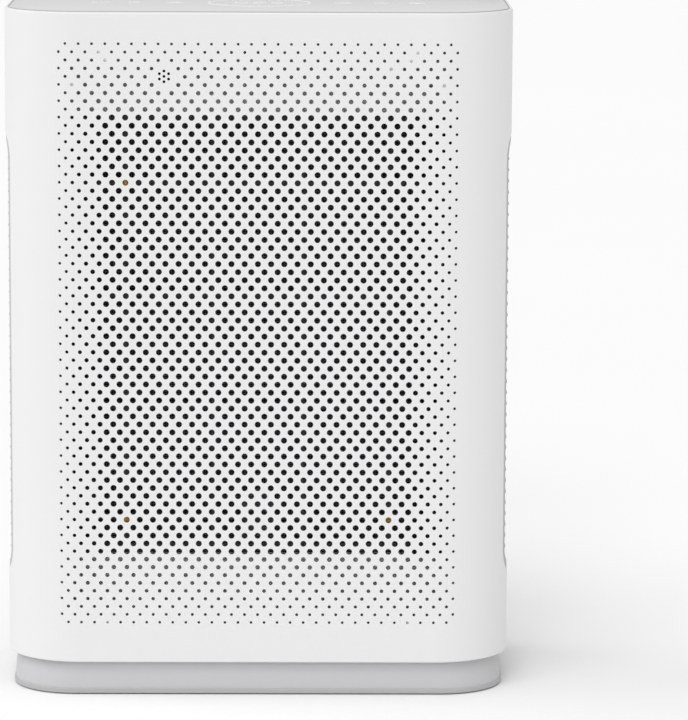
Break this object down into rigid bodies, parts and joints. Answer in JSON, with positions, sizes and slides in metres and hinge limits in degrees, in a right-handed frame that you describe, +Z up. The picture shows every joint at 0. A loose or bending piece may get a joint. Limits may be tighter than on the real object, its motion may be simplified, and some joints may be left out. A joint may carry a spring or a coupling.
{
  "type": "air purifier",
  "caption": "Upright air purifier: rounded white body on a low plinth, perforated pull-off front cover over a pre-filter and HEPA filter, fan blowing out of side vents, touch panel on top.",
  "frame": {"origin": "on the floor, under the middle of the body's bounding box", "axes": "+X to the right seen from the front, +Y from the front to the back, +Z up"},
  "size_m": [0.388, 0.19, 0.5255],
  "materials": {
    "white_shell": "fine satin moulding",
    "white_inner": "plain moulding",
    "base_grey": "satin moulding",
    "panel_grey": "smooth touch panel",
    "vent_grey": "matt moulding",
    "black_plastic": "matt moulding",
    "dark_plastic": "matt moulding",
    "orange_plastic": "smooth moulding",
    "impeller_plastic": "glass-filled moulding",
    "light_guide": "milky acrylic",
    "circuit_board": "solder mask",
    "steel": "bright zinc plate",
    "magnet": "nickel plate",
    "motor_aluminium": "die casting",
    "copper_windings": "enamelled copper wire",
    "brass": "satin",
    "rubber": "matt",
    "dark_mesh": "woven nylon mesh",
    "hepa_card": "stiff card-like moulding",
    "hepa_paper": "pleated glass-fibre paper",
    "carbon_felt": "felt loaded with carbon",
    "seal_foam": "closed-cell foam",
    "pull_ribbon": "woven ribbon"
  },
  "bodies": {
    "cabinet": {"filter_bay": "white_inner", "catch_plates": "steel", "rear_shell": "white_shell", "shell_screws": "steel", "vent_left": "vent_grey", "vent_right": "vent_grey", "top_deck": "white_inner", "control_plate": "panel_grey", "control_board": "circuit_board", "touch_springs": "steel", "display_ring": "light_guide", "dust_sensor": "black_plastic", "sensor_gasket": "rubber", "interlock_switch": "black_plastic", "finger_guard": "black_plastic", "inlet_ring": "white_inner", "fan_housing": "white_inner", "motor_case": "motor_aluminium", "stator": "copper_windings", "front_bearing": "steel", "rear_bearing": "steel", "motor_plate": "steel", "motor_dampers": "rubber", "motor_screws": "steel", "handle_pocket": "white_shell", "power_inlet": "black_plastic", "inlet_pins": "steel", "power_board": "circuit_board", "board_parts": "black_plastic", "base_tray": "white_shell", "plinth_skirt": "white_shell", "base_lip": "base_grey", "bottom_plate": "base_grey", "rubber_feet": "rubber", "base_screws": "steel"},
    "cover": {"front_cover": "white_shell", "cover_magnets": "magnet"},
    "prefilter": {"prefilter_frame": "dark_plastic", "prefilter_mesh": "dark_mesh", "filter_studs": "brass"},
    "hepa": {"hepa_frame": "hepa_card", "carbon_pad": "carbon_felt", "hepa_pleats": "hepa_paper", "hepa_seal": "seal_foam", "pull_tab": "pull_ribbon"},
    "rotor": {"impeller": "impeller_plastic", "hub_insert": "brass", "shaft_nut": "steel", "motor_shaft": "steel", "rotor_core": "motor_aluminium"},
    "plunger": {"interlock_plunger": "orange_plastic"}
  },
  "joints": [
    {"name": "cover_pull", "type": "slide", "parent": "cabinet", "child": "cover", "axis": [0, -1, 0], "range_m": [0, 0.24]},
    {"name": "prefilter_pull", "type": "slide", "parent": "cabinet", "child": "prefilter", "axis": [0, -1, 0], "range_m": [0, 0.144]},
    {"name": "hepa_pull", "type": "slide", "parent": "cabinet", "child": "hepa", "axis": [0, -1, 0], "range_m": [0, 0.072]},
    {"name": "interlock_slide", "type": "slide", "parent": "cabinet", "child": "plunger", "axis": [0, -1, 0], "range_m": [0, 0.003]},
    {"name": "impeller_spin", "type": "hinge", "parent": "cabinet", "child": "rotor", "pos_m": [0, 0, 0.278], "axis": [0, 1, 0], "continuous": true}
  ],
  "couplings": [
    {"joint": "prefilter_pull", "follows": "cover_pull", "ratio": 0.6},
    {"joint": "hepa_pull", "follows": "cover_pull", "ratio": 0.3},
    {"joint": "interlock_slide", "follows": "cover_pull", "ratio": 0.0125}
  ]
}
